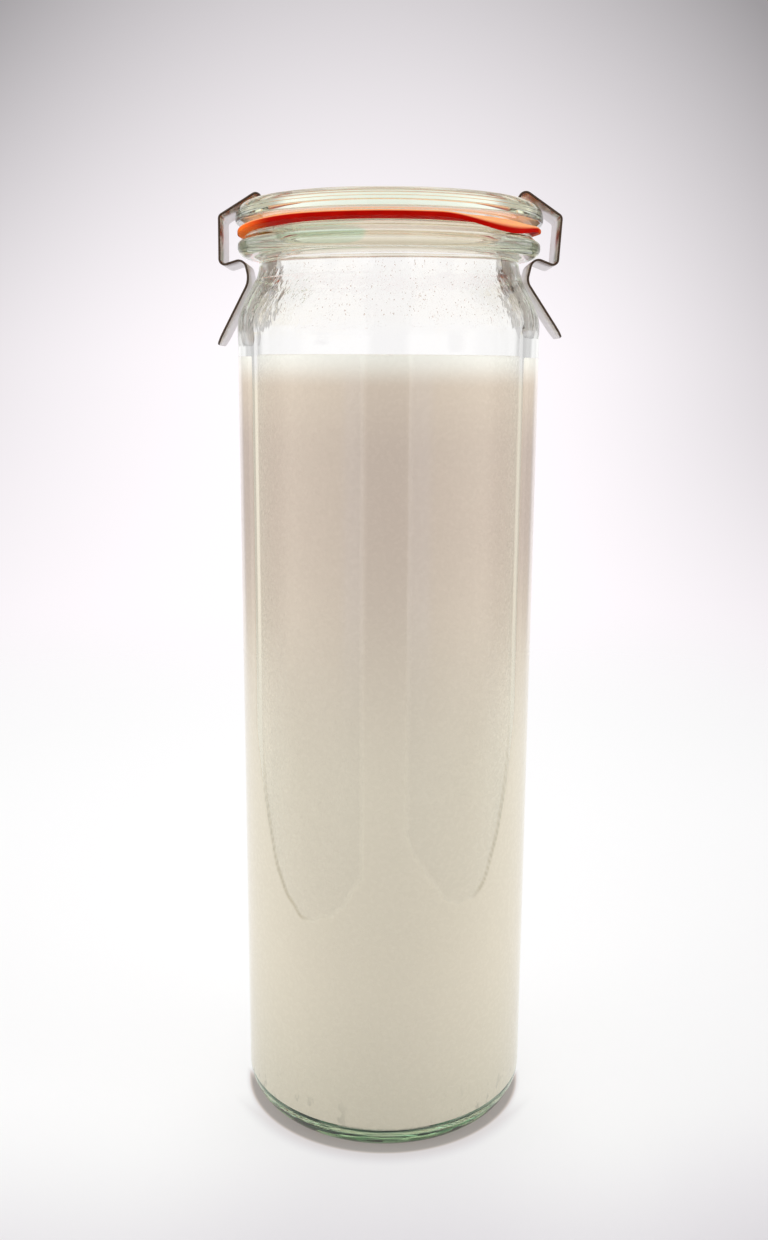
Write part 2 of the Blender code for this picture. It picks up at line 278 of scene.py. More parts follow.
# What the glass shows of the floor: a painted shadow under and just behind the jar, warmer further back
THROUGH_PAINTED_SHADOW = (0.4, 0.4, 0.3, 1)
THROUGH_FAR = (0.74, 0.64, 0.46, 1)
THROUGH_BACK = (0.05, 0.14)
DIM_LEVELS = (0.6, 1)
SHADOW_LEVELS = (0.45, 0.95)
FALL_AHEAD = (-0.3, -0.12, 1, 0.57)
RISE_BACK = (-0.12, -0.005, 0.57, 1.06)
FLOOR_MIDDLE = -0.02
DIM_SIDES = (0, 0.3, 0, 0.2)
DIM_SIDES_BACK = (0.02, 0.2, 1, 0.55)
CAMERA_AWAY = 0.283
CAMERA_NEAREST = 0.05
DIM_RIGHT = (0.13, 0.38, 0, 0.13)
DIM_RIGHT_BACK = (-0.05, 0.03, 1, 0.2)
AHEAD_SHADE = 0.11
AHEAD_SIDES = (0.01, 0.06)
AHEAD_BACK = (-0.03, 0)
CONTACT_CENTRE = (-0.0002, 0.0012, 0)
CONTACT = (0.0332, 0.0343)
CONTACT_DARK = 0.4
CONTACT_DARKER = 0.17
CONTACT_LIGHT = 0.8
SOFT_EDGE = (0.0343, 0.039, 0, 0.2)
SIDE_EDGE = (0.0338, 0.0352, 0, 0.2)
SIDE_EDGE_BACK = (-0.022, -0.008)
CONTACT_BACK = (-0.004, 0.003)
UNDER_BASE = (0.024, 0.028, 0.5, 0)

# Surroundings: colours, then levels and ramps over a direction's X, Y and Z; WIDE is X to either side
ROOM_CLEAR = (1, 0.965, 0.985, 1)
ROOM_WARM = (1, 0.9, 0.77, 1)
BACKDROP_TINT = (1, 0.955, 0.99, 1)
BACKDROP_LEVEL = 1.065
BACKDROP_LIFT = 2.85
BACKDROP_CURVE = 1.5
BACKDROP_MIDDLE = -0.02
BACKDROP_SIDES = 8.1
BACKDROP_LOW = 0.33
BACKDROP_WIDE = (0.31, 0.5, 0.35, 0.9)
RIGHT_X = (0.12, 0.34)
RIGHT_LOW_Z = (-0.2, -0.02, 0.04, 0.09)
RIGHT_HIGH_Z = (0, 0.28, 0, 0.12)
CAMERA_SIDE_Y = (-0.15, 0.15)
STRIP_START = (0.725, 0.74, 0, 0.35)
STRIP_END = (0.79, 0.81, 0, 0.35)
STRIP_X = (-0.1, 0.1, 1, 0.65)
ROOM_BRIGHT_WIDE = (0.15, 0.4, 0, 0.12)
ROOM_DARK_WIDE = (0.43, 0.55, 0, 0.5)
ROOM_Z = (0.15, 0.6, 1, 0.66)
BEHIND_CAMERA = 1.25
BEHIND_CAMERA_WIDE = (0.25, 0.29, 0.5, 0)
WARM_HIGH_Z = (0.1, 0.4)
WARM_WIDE = (0.5, 0.62)
WARM_LOW_Z = (-0.02, 0.008)
LIT_LEVEL = 0.42
LIT_WIDE = 0.78
LIT_BACK = 0.15

# Lamps: name, place, size and power
LAMPS = [
    ("top_lamp", (0, 0.12, 0.75), 0.6, 1),
    ("left_lamp", (-0.72, -0.13, 0.42), 0.5, 1.3),
    ("right_lamp", (0.72, -0.13, 0.42), 0.5, 1.3),
]
AIM = (0, 0, 0.1)

# Camera, fitted to the photo's outlines; the two PHOTO values are in its pixels
EYE = (0.0002, -0.28275, 0.1766)
PITCH = -0.203
YAW = 0.003
ROLL = 0.0057
PHOTO_FOCAL = 1220
PHOTO_HEIGHT = 1240
FOCAL_SHARE = PHOTO_FOCAL / PHOTO_HEIGHT
SENSOR = 36


class JarSizes(bpy.types.PropertyGroup):
    body_radius: FloatProperty(
        name="Body radius",
        description="Outer radius of the jar's straight wall",
        default=JAR_HIGH[0], unit="LENGTH",
    )
    height: FloatProperty(
        name="Height",
        description="Height of the jar's rim over the surface that it stands on",
        default=JAR_HIGH[2], unit="LENGTH",
    )
    wall: FloatProperty(
        name="Wall",
        description="Thickness of the straight wall",
        default=WALL, unit="LENGTH",
    )
    fill_height: FloatProperty(
        name="Filling height",
        description="Height of the filling's surface",
        default=FILLING_HIGH[2], unit="LENGTH",
    )
    ring_width: FloatProperty(
        name="Ring width",
        description="Width of the flat rubber ring",
        default=RING_WIDTH, unit="LENGTH",
    )
    strip_width: FloatProperty(
        name="Clamp width",
        description="Width of the clamps' steel strip",
        default=15 * MM, unit="LENGTH",
    )
    strip_thickness: FloatProperty(
        name="Clamp thickness",
        description="Thickness of the clamps' steel strip",
        default=0.48 * MM, unit="LENGTH",
    )
    droplet_density: FloatProperty(
        name="Droplet density",
        description="Droplets to a square metre of glass above the filling",
        default=850000,
    )
    droplet_size: FloatProperty(
        name="Droplet size",
        description="Radius of the largest droplets",
        default=0.16 * MM, unit="LENGTH",
    )
    droplet_seed: IntProperty(
        name="Droplet seed",
        description="Seed of the droplets' places",
        default=4,
    )


class JarColours(bpy.types.PropertyGroup):
    glass: FloatVectorProperty(
        name="Glass tint",
        description="Colour that thick glass lets through",
        subtype="COLOR", default=(0.5, 0.86, 0.52),
    )
    lid_glass: FloatVectorProperty(
        name="Lid tint",
        description="Colour that the lid's glass lets through",
        subtype="COLOR", default=(0.66, 0.86, 0.56),
    )
    filling: FloatVectorProperty(
        name="Filling",
        description="Colour of the filling",
        subtype="COLOR", default=(0.61, 0.485, 0.415),
    )
    rubber: FloatVectorProperty(
        name="Rubber",
        description="Colour of the sealing ring",
        subtype="COLOR", default=(0.36, 0.002, 0.0005),
    )
    steel: FloatVectorProperty(
        name="Steel",
        description="Colour of the clamps",
        subtype="COLOR", default=(0.62, 0.59, 0.6),
    )


# Node trees


class Sum:
    """A node's output that takes part in sums."""

    def __init__(self, tree, socket):
        self.tree = tree
        self.socket = socket

    def maths(self, operation, *values):
        return self.tree.add("ShaderNodeMath", {"operation": operation}, dict(enumerate(values)))

    def __add__(self, other):
        return self.maths("ADD", self, other)

    def __radd__(self, other):
        return self.maths("ADD", other, self)

    def __sub__(self, other):
        return self.maths("SUBTRACT", self, other)

    def __rsub__(self, other):
        return self.maths("SUBTRACT", other, self)

    def __mul__(self, other):
        return self.maths("MULTIPLY", self, other)

    def __rmul__(self, other):
        return self.maths("MULTIPLY", other, self)

    def __truediv__(self, other):
        return self.maths("DIVIDE", self, other)

    def __rtruediv__(self, other):
        return self.maths("DIVIDE", other, self)

    def __abs__(self):
        return self.maths("ABSOLUTE", self)

    def power(self, exponent):
        return self.maths("POWER", self, exponent)

    def larger(self, other):
        return self.maths("MAXIMUM", self, other)

    def step(self, start, end, low=0, high=1):
        """Smooth step from low at start to high at end."""
        settings = {"interpolation_type": "SMOOTHSTEP"}
        values = {"Value": self, "From Min": start, "From Max": end, "To Min": low, "To Max": high}
        return self.tree.add("ShaderNodeMapRange", settings, values)

    def fall(self, start, end):
        """Smooth step from 1 at start to 0 at end."""
        return self.step(start, end, 1, 0)


class Nodes:
    """One node tree that is being built."""

    def __init__(self, tree):
        self.tree = tree
        tree.nodes.clear()

    def node(self, kind, settings=None, inputs=None):
        node = self.tree.nodes.new(kind)
        for name, value in (settings or {}).items():
            setattr(node, name, value)
        for name, value in (inputs or {}).items():
            if isinstance(value, Sum):
                self.tree.links.new(value.socket, node.inputs[name])
            else:
                node.inputs[name].default_value = value
        return node

    def add(self, kind, settings=None, inputs=None, output=0):
        """A new node's output, ready for sums."""
        return Sum(self, self.node(kind, settings, inputs).outputs[output])

    def mix_colour(self, factor, first, second):
        return self.add("ShaderNodeMix", {"data_type": "RGBA"}, {0: factor, 6: first, 7: second}, 2)

    def painted(self, colour, *layers):
        """A colour with others laid over it, each given as its share and itself."""
        for share, over in layers:
            colour = self.mix_colour(share, colour, over)
        return colour

    def mix_shader(self, factor, first, second):
        return self.add("ShaderNodeMixShader", None, {0: factor, 1: first, 2: second})

    def noise(self, place, scale, detail, flatness=1):
        """Noise that is flatter than it is wide, or taller where flatness is under 1."""
        if flatness != 1:
            place = self.stretched(place, (1, 1, flatness))
        inputs = {"Vector": place, "Scale": scale, "Detail": detail}
        return self.add("ShaderNodeTexNoise", None, inputs, "Fac")

    def bump(self, height, distance, strength=1):
        inputs = {"Height": height, "Distance": distance, "Strength": strength}
        return self.add("ShaderNodeBump", None, inputs)

    def coordinates(self, kind):
        return self.add("ShaderNodeTexCoord", None, None, kind)

    def attribute(self, name):
        return self.add("ShaderNodeAttribute", {"attribute_name": name}, None, "Fac")

    def stretched(self, place, scale):
        return self.add("ShaderNodeVectorMath", {"operation": "MULTIPLY"}, {0: place, 1: scale})

    def distance(self, place, centre=(0, 0, 0)):
        return self.add("ShaderNodeVectorMath", {"operation": "DISTANCE"}, {0: place, 1: centre}, "Value")

    def axes(self, vector):
        node = self.node("ShaderNodeSeparateXYZ", None, {0: vector})
        return [Sum(self, output) for output in node.outputs]

    def ray(self, name):
        return self.add("ShaderNodeLightPath", None, None, name)

    def surface(self, shader, volume=None):
        output = self.node("ShaderNodeOutputMaterial", None, {"Surface": shader})
        if volume is not None:
            self.tree.links.new(volume.socket, output.inputs["Volume"])


def new_material(name):
    material = bpy.data.materials.new(name)
    material.use_nodes = True
    return material, Nodes(material.node_tree)


def opaque(colour):
    return (*colour, 1)


# Materials


def glass_colour(tree, place):
    """Clear, with painted refraction in the bead: beige, lighter at its ends and with a green lens at the
    front left; at the heel dark green with light streaks and dark dashes, which are painted glints and
    painted dark reflections.
    """
    x, y, z = tree.axes(place)
    # Painted refraction: a green lens at the bead's front left, and beige that is lighter towards the ends
    across = ((x - LENS_CENTRE[0]) / LENS_RADII[0]).larger(0)
    up = (z - LENS_CENTRE[1]) / LENS_RADII[1]
    lens = (across * across + up * up).fall(*LENS_RIM) * x.step(*LENS_END) * y.fall(*FRONT_HALF)
    beige = tree.mix_colour(abs(x).step(*BEAD_SIDES), BEAD_PAINTED_BEIGE, BEAD_PAINTED_ENDS)
    bead = tree.mix_colour(lens, beige, PAINTED_LENS_GREEN)
    # Painted glints and painted dark reflections at the heel
    streaks = tree.noise(place, 110, 2, flatness=7).step(0.42, 0.58)
    dashes = tree.noise(place, 125, 1, flatness=6).step(0.5, 0.53)
    heel = tree.painted(HEEL_DARK, (streaks, HEEL_PAINTED_GLINTS), (dashes, HEEL_PAINTED_DARK_REFLECTIONS))
    in_bead = z.step(*BEAD_FOOT) * z.fall(*BEAD_TOP)
    return tree.painted(WHITE, (in_bead, bead), (z.fall(*HEEL_TOP), heel))


def glass_material(name, tint, waviness):
    """Clear glass, green where it is thick, that lets the lamps' light through to what is inside."""
    material, tree = new_material(name)
    place = tree.coordinates("Object")
    x, _, height = tree.axes(place)
    near_shoulder = height.step(*CRUMPLE_FOOT) - height.step(*CRUMPLE_TOP)
    waves = tree.noise(place, 60, 1.5, flatness=0.35)
    crumple = x.step(*CRUMPLE_TO_RIGHT) * tree.noise(place, 480, 2, flatness=0.5)
    smears = tree.noise(place, 420, 3)
    glass = tree.add("ShaderNodeBsdfPrincipled", None, {
        "Base Color": glass_colour(tree, place),
        "Roughness": smears.step(*SMEARS),
        "IOR": 1.5,
        "Transmission Weight": 1,
        "Normal": tree.bump(waves + near_shoulder * crumple, waviness),
    })
    passing = tree.add("ShaderNodeBsdfTransparent", None, {"Color": LIGHT_PASSING})
    lets_through = tree.ray("Is Shadow Ray").larger(tree.ray("Is Diffuse Ray"))
    depth = tree.add("ShaderNodeVolumeAbsorption", None, {"Color": opaque(tint), "Density": GLASS_DENSITY})
    tree.surface(tree.mix_shader(lets_through, glass, passing), depth)
    return material


def cream_colour(tree, place, colours):
    """The filling's colour: paler towards its surface, with painted light from above at the surface, pinker
    in its upper half, painted brown shade at the tide line, and painted shade at its upper sides and under
    it.
    """
    x, _, height = tree.axes(place)
    wide = abs(x)
    clouds = tree.noise(place, 45, 3, flatness=0.3)
    # Painted brown shade along the tide line, to either side of the front
    beside = x.fall(*TIDE_SHADE_LEFT) + x.step(*TIDE_SHADE_RIGHT)
    dark_marks = tree.attribute("tide") * beside * height.step(*TIDE_SHADE_HEIGHTS)
    # Painted shade at the filling's sides, above the bays
    shaded_sides = wide.step(*SHADED_SIDES) * height.step(*SHADED_SIDE_HEIGHTS)
    scuffs = tree.noise(place, 620, 2, flatness=0.45).step(0.6, 0.68)
    low_sides = height.step(*SCUFF_HEIGHTS) * wide.step(*SCUFF_SIDES)
    return tree.painted(
        CREAM_FOOT,
        (height.step(*LOWER_HEIGHTS), CREAM_LOWER),
        (height.step(*PINK_HEIGHTS), opaque(colours.filling)),
        (CLOUDS_SHARE * clouds, CREAM_CLOUDS),
        (dark_marks, TIDE_PAINTED_SHADE),
        (SIDE_SHADE_SHARE * shaded_sides, SIDE_PAINTED_SHADE),
        (scuffs * low_sides, SCUFF_GREY),
        (height.fall(*UNDERSIDE_SHADE_HEIGHTS), UNDERSIDE_PAINTED_SHADE),
        (height.step(*UPPER_HEIGHTS), CREAM_UPPER),
        (height.step(*TOP_LIGHT_HEIGHTS), CREAM_PAINTED_TOP_LIGHT),
    )


def filling_material(colours):
    """Cream that is paler towards its surface, with painted light from above there, and with faint clouds
    and curds.
    """
    material, tree = new_material("cream_filling")
    place = tree.coordinates("Object")
    curds = tree.noise(place, 900, 2)
    cream = tree.add("ShaderNodeBsdfPrincipled", None, {
        "Base Color": cream_colour(tree, place, colours),
        "Roughness": 0.22 + 0.1 * curds,
        "Specular IOR Level": 0.35,
        "Normal": tree.bump(curds, CURD_DEPTH),
    })
    tree.surface(cream)
    return material


def rubber_material(colours):
    """Red rubber that glows a little where light gets into it; its ends are painted orange as a painted
    glow, and its upward flat faces as a painted sheen.
    """
    material, tree = new_material("red_rubber")
    place = tree.coordinates("Object")
    grain = tree.noise(place, 2600, 3)
    mottle = tree.noise(place, 260, 3)
    x = tree.axes(place)[0]
    # Faces that look up get a painted sheen
    facing_up = tree.axes(tree.coordinates("Normal"))[2]
    # Painted glow: the ring's ends orange, as if lit through from behind
    ends = x.fall(*GLOW_LEFT) + x.step(*GLOW_RIGHT)
    colour = tree.painted(
        opaque(colours.rubber),
        (mottle.step(0.35, 0.7), RUBBER_MOTTLED),
        (ends, RUBBER_PAINTED_GLOW),
        (facing_up.step(*FLAT_FACES), RUBBER_PAINTED_SHEEN),
    )
    rubber = tree.add("ShaderNodeBsdfPrincipled", None, {
        "Base Color": colour,
        "Roughness": 0.42 + 0.18 * grain,
        "Specular IOR Level": 0.01,
        "Subsurface Weight": 0.3,
        "Subsurface Radius": (1.0, 0.2, 0.04),
        "Subsurface Scale": 4 * MM,
        "Normal": tree.bump(grain, RUBBER_GRAIN),
    })
    tree.surface(rubber)
    return material


def steel_material(colours):
    """Rolled spring steel: bright faces with fine lines along the strip, and dark sheared edges."""
    material, tree = new_material("spring_steel")
    place = tree.coordinates("Object")
    lines = tree.noise(tree.stretched(place, ROLLED_LINES), 1, 3)
    dark_marks = tree.noise(place, 240, 4)
    sheared = tree.attribute("sheared")
    colour = tree.painted(
        opaque(colours.steel),
        (dark_marks.step(0.5, 0.8), STEEL_STAINED),
        (sheared, STEEL_SHEARED),
    )
    steel = tree.add("ShaderNodeBsdfPrincipled", None, {
        "Base Color": colour,
        "Metallic": 1,
        "Roughness": 0.24 + 0.14 * dark_marks + 0.2 * sheared,
        "Normal": tree.bump(lines, STEEL_GRAIN, 0.4),
    })
    tree.surface(steel)
    return material


def droplet_material():
    """Dried splashes of the filling."""
    material, tree = new_material("splashes")
    mottle = tree.noise(tree.coordinates("Object"), 1500, 2)
    splash = tree.add("ShaderNodeBsdfPrincipled", None, {
        "Base Color": tree.mix_colour(mottle, SPLASH_DARK, SPLASH_LIGHT),
        "Roughness": 0.3 + 0.2 * mottle,
        "Alpha": 0.45,
    })
    tree.surface(splash)
    return material


# Profiles


def arc(centre, radius, start_deg, end_deg, steps=8, tallness=1):
    points = []
    for step in range(steps + 1):
        angle = math.radians(start_deg + (end_deg - start_deg) * step / steps)
        rise = radius * tallness * math.sin(angle)
        points.append((centre[0] + radius * math.cos(angle), centre[1] + rise))
    return points


def ease(share):
    share = min(max(share, 0), 1)
    return (1 - math.cos(math.pi * share)) / 2


def shoulder(start, end):
    """S-curve that is upright at both ends."""
    points = []
    for step in range(SHOULDER_STEPS + 1):
        share = step / SHOULDER_STEPS
        radius = start[0] + (end[0] - start[0]) * ease(share)
        points.append((radius, start[1] + (end[1] - start[1]) * share))
    return points


def refined(points, closed=False):
    """The profile with its long stretches cut up, closely beside their ends."""
    fine = []
    ends = points[1:] + points[:1] if closed else points[1:]
    for start, end in zip(points, ends):
        fine.append(start)
        length = math.dist(start, end)
        if length < SHORTEST_CUT:
            continue
        count = math.ceil(length / LONGEST)
        shares = [SUPPORT / length] + [step / count for step in range(1, count)] + [1 - SUPPORT / length]
        for share in shares:
            fine.append((start[0] + (end[0] - start[0]) * share, start[1] + (end[1] - start[1]) * share))
    if not closed:
        fine.append(points[-1])
    return fine


def jar_lines(sizes):
    """Named radii and heights of the jar's glass."""
    bead_radius = RING_HIGH[0]
    bead_bottom = sizes.height - BEAD_HEIGHT
    neck_radius = bead_radius - BEAD_PROUD
    return {
        "inner": sizes.body_radius - sizes.wall,
        "bore": neck_radius - NECK_WALL,
        "neck": neck_radius,
        "bead": bead_radius,
        "lip": bead_radius - LIP_STEP,
        "bead_bottom": bead_bottom,
        "shoulder_top": bead_bottom - NECK_FILLET,
        "shoulder_foot": bead_bottom - NECK_FILLET - SHOULDER_HEIGHT,
        "floor": PUNT_DEPTH + BASE_THICKNESS,
    }


def inner_wall(sizes):
    """Inside of the glass, from the wall's foot over the shoulder to the bore."""
    at = jar_lines(sizes)
    top = (at["bore"], at["shoulder_top"] - INNER_SHOULDER_DROP)
    foot = (at["inner"], top[1] - INNER_SHOULDER_HEIGHT)
    return shoulder(foot, top)


def jar_profile(sizes):
    at = jar_lines(sizes)
    top = sizes.height
    floor = (at["inner"] - FLOOR_ROUND, at["floor"] + FLOOR_ROUND)
    points = [(0, at["floor"])]
    points += arc(floor, FLOOR_ROUND, -90, 0, ROUND_STEPS)
    points += inner_wall(sizes)
    points += arc((at["bore"] + MOUTH_ROUND, top - MOUTH_ROUND), MOUTH_ROUND, 180, 90)
    points += arc((at["lip"] - LIP_ROUND, top - LIP_ROUND), LIP_ROUND, 90, 0)
    points += arc((at["bead"] - BEAD_TOP_ROUND, top - BEAD_TOP_DROP), BEAD_TOP_ROUND, BEAD_TOP_DEG, 0)
    bead_corner = (at["bead"] - BEAD_CORNER, at["bead_bottom"] + BEAD_CORNER)
    points += arc(bead_corner, BEAD_CORNER, 0, -90, BEAD_STEPS)
    points += arc((at["neck"] + NECK_FILLET, at["shoulder_top"]), NECK_FILLET, 90, 180)
    points += shoulder((at["neck"], at["shoulder_top"]), (sizes.body_radius, at["shoulder_foot"]))
    heel = (sizes.body_radius - HEEL_ROUND, HEEL_ROUND * HEEL_TALLNESS)
    points += arc(heel, HEEL_ROUND, 0, -90, ROUND_STEPS, HEEL_TALLNESS)
    foot_inner = sizes.body_radius - HEEL_ROUND - FOOT_WIDTH
    for step in range(ROUND_STEPS + 1):
        angle = math.radians(90 * step / ROUND_STEPS)
        points.append((foot_inner * math.cos(angle), PUNT_DEPTH * math.sin(angle)))
    return refined(points)


def lid_profile():
    radius = LID_HIGH[0]
    crest = LID_HIGH[2]
    ridge_low = LID_LOW[2]
    rim_low = ridge_low + RING_THICKNESS
    recess = crest - RECESS_DEPTH
    recess_radius = radius - RIM_WIDTH
    ridge_inner = RIDGE_OUTER - RIDGE_WIDTH
    points = [(0, recess)]
    points += arc((recess_radius - RECESS_FILLET, recess + RECESS_FILLET), RECESS_FILLET, -90, 0)
    points += arc((recess_radius + CREST_ROUND, crest - CREST_ROUND), CREST_ROUND, 180, 90)
    points += arc((radius - LID_CORNER, crest - LID_CORNER), LID_CORNER, 90, 0, ROUND_STEPS)
    points += arc((radius - LID_LOWER_ROUND, rim_low + LID_LOWER_ROUND), LID_LOWER_ROUND, 0, -90)
    points.append((RIDGE_OUTER, rim_low))
    points += arc((RIDGE_OUTER - RIDGE_ROUND, ridge_low + RIDGE_ROUND), RIDGE_ROUND, 0, -90)
    points.append((ridge_inner, ridge_low))
    points.append((ridge_inner - UNDERSIDE_SLOPE, ridge_low + UNDERSIDE_RISE))
    points.append((0, ridge_low + UNDERSIDE_RISE))
    return refined(points)


def ring_profile(sizes):
    edge = RING_EDGE_ROUND
    outer = RING_HIGH[0] - edge
    inner = RING_HIGH[0] - sizes.ring_width + edge
    top = RING_HIGH[2] - RING_SLACK - edge
    low = RING_HIGH[2] - RING_SLACK - SEEN_THICKNESS + edge
    points = []
    for radius, height, start in ((outer, top, 90), (outer, low, 0), (inner, low, -90), (inner, top, 180)):
        points += arc((radius, height), edge, start, start - 90, EDGE_STEPS)
    return points


# Meshes


def built_object(name, build, material):
    """The object that a finished bmesh becomes."""
    mesh = bpy.data.meshes.new(name)
    build.to_mesh(mesh)
    build.free()
    thing = bpy.data.objects.new(name, mesh)
    bpy.context.scene.collection.objects.link(thing)
    if material is not None:
        mesh.materials.append(material)
    return thing


def turned(name, profile, material, closed=False, shape=None, around=AROUND):
    """Solid of revolution. shape moves each point: from its radius, height and angle to two others."""
    build = bmesh.new()
    rows = []
    for radius, height in profile:
        if radius == 0:
            rows.append([build.verts.new((0, 0, height))] * around)
            continue
        row = []
        for index in range(around):
            angle = 2 * math.pi * index / around
            r, z = shape(radius, height, angle) if shape else (radius, height)
            row.append(build.verts.new((r * math.cos(angle), r * math.sin(angle), z)))
        rows.append(row)
    followers = rows[1:] + rows[:1] if closed else rows[1:]
    for row, after in zip(rows, followers):
        for index in range(around):
            beside = (index + 1) % around
            corners = [row[index], row[beside], after[beside], after[index]]
            kept = [corner for place, corner in enumerate(corners) if corner not in corners[:place]]
            if len(kept) > 2:
                build.faces.new(kept)
    bmesh.ops.recalc_face_normals(build, faces=build.faces)
    for face in build.faces:
        face.smooth = True
    return built_object(name, build, material)


def rippled(sizes):
    """Moves the inside of the glass a little round the shoulder, where pressed glass is uneven."""
    at = jar_lines(sizes)
    inner = at["bore"] - INNER_MARGIN
    outer = at["inner"] + INNER_MARGIN
    top = at["shoulder_top"] - INNER_SHOULDER_DROP
    middle = top - INNER_SHOULDER_HEIGHT / 2

    def shape(radius, height, angle):
        if not (inner < radius < outer and height > sizes.fill_height):
            return radius, height
        place = Vector((radius * math.cos(angle), radius * math.sin(angle), height * RIPPLE_FLATNESS))
        near = ease(RIPPLE_REACH - RIPPLE_REACH * abs(height - middle) / INNER_SHOULDER_HEIGHT)
        bulge = NECK_BULGE * math.exp(-((height - top) / NECK_BULGE_HEIGHT) ** 2)
        moved = radius + RIPPLE * noise.noise(place / RIPPLE_LENGTH) * near - bulge
        return moved, height + INNER_SHOULDER_TILT * math.cos(angle) * near

    return shape


def dryness(height, angle):
    """1 where the filling has come off the glass, 0 where it wets it."""
    facing = math.degrees(math.atan2(math.cos(angle), -math.sin(angle)))
    waves = sum(size * math.sin(facing * pace + start) for size, pace, start in TIDE_WAVES)
    most = 0
    for outer, lowest, inner, low, outer_rise, inner_rise in BAYS:
        if (facing - lowest) * (outer - lowest) > 0:
            edge, rise, curve = outer, outer_rise, OUTER_CURVE
        else:
            edge, rise, curve = inner, inner_rise, INNER_CURVE
        width = math.radians(abs(edge - lowest)) * INNER_RADIUS
        share = (facing - lowest) / (edge - lowest)
        slope = rise * curve * share ** (curve - 1) / width
        to_edge = width * (1 - share)
        to_line = (height - low - rise * share ** curve - waves) / math.hypot(1, slope)
        most = max(most, ease(min(to_edge, to_line) / TIDE_BAND))
    return most


def mark_tide(mesh):
    """Keeps with each point how near the tide line it is: 1 on it, 0 away from it."""
    layer = mesh.attributes.new("tide", "FLOAT", "POINT")
    for mark, vertex in zip(layer.data, mesh.vertices):
        dry = dryness(vertex.co.z, math.atan2(vertex.co.y, vertex.co.x))
        mark.value = 4 * dry * (1 - dry)


def filling_shape(sizes):
    inner = jar_lines(sizes)["inner"]

    def shape(radius, height, angle):
        near = min(max(1 - (inner - radius) / RIM_ROUND, 0), 1)
        return radius + near * (FILM - (FILM + AIR_GAP) * dryness(height, angle)), height

    return shape


def filling_profile(sizes):
    """The filling touches the glass's side, with a thin layer of air over the jar's floor."""
    at = jar_lines(sizes)
    radius = at["inner"]
    top = sizes.fill_height
    low = at["floor"] + FLOOR_AIR
    heights = [top - RIM_ROUND, TIDE_TOP, TIDE_LOW, low + FLOOR_ROUND]
    spacings = [LONGEST, TIDE_ROW, LONGEST]
    points = [(0, top)]
    points += arc((radius - RIM_ROUND, top - RIM_ROUND), RIM_ROUND, 90, 0, EDGE_STEPS)[:-1]
    for high, end, spacing in zip(heights, heights[1:], spacings):
        count = math.ceil((high - end) / spacing)
        points += [(radius, high + (end - high) * step / count) for step in range(count)]
    points += arc((radius - FLOOR_ROUND, low + FLOOR_ROUND), FLOOR_ROUND, 0, -90, ROUND_STEPS)
    points.append((0, low))
    return points


def sag(radius, angle):
    """How far the ring's edge hangs down at a place."""
    land_edge = RING_HIGH[0] - LIP_STEP - LIP_ROUND
    out = max(radius - land_edge, 0) / (RING_HIGH[0] - land_edge)
    drop = 0
    for centre, reach, depth in SAGS:
        off_centre = abs((math.degrees(angle) - centre + 180) % 360 - 180) / reach
        drop += depth * ease(1 - off_centre)
    return drop * out ** SAG_CURVE


def bend(before, corner, after, radius):
    """Points of the arc that rounds one corner."""
    back = (before - corner).normalized()
    ahead = (after - corner).normalized()
    half = back.angle(ahead) / 2
    centre = corner + (back + ahead).normalized() * radius / math.sin(half)
    start = corner + back * radius / math.tan(half) - centre
    turn = start.angle_signed(corner + ahead * radius / math.tan(half) - centre)
    points = []
    for step in range(BEND_STEPS + 1):
        angle = -turn * step / BEND_STEPS
        points.append(centre + Matrix.Rotation(angle, 2) @ start)
    return points


def strip_line(knots):
    """Centre line of a clamp in the X-Z plane, with its bends rounded and its long runs cut up."""
    corners = [Vector(place) * MM for place, _ in knots]
    points = [corners[0]]
    for index in range(1, len(knots) - 1):
        points += bend(corners[index - 1], corners[index], corners[index + 1], knots[index][1] * MM)
    points.append(corners[-1])
    fine = []
    for start, end in zip(points, points[1:]):
        count = max(math.ceil((end - start).length / STRIP_FACET), 1)
        fine += [start.lerp(end, step / count) for step in range(count)]
    return fine + [points[-1]]


def strip_rows(knots, width):
    """Centre line points with the half width at each, narrowed round the tab's end."""
    line = strip_line(knots)
    along = (line[-1] - line[-2]).normalized()
    tab_start = line[-1] - along * TAB_ROUND
    rows = []
    for point in line:
        if (point - tab_start).dot(along) < 0 or point.y > TAB_CEILING:
            rows.append((point, width / 2))
    for step in range(TAB_STEPS + 1):
        angle = math.radians(90 * step / TAB_STEPS)
        point = line[-1] - along * TAB_ROUND * (1 - math.sin(angle))
        rows.append((point, width / 2 - TAB_ROUND * (1 - math.cos(angle))))
    return rows


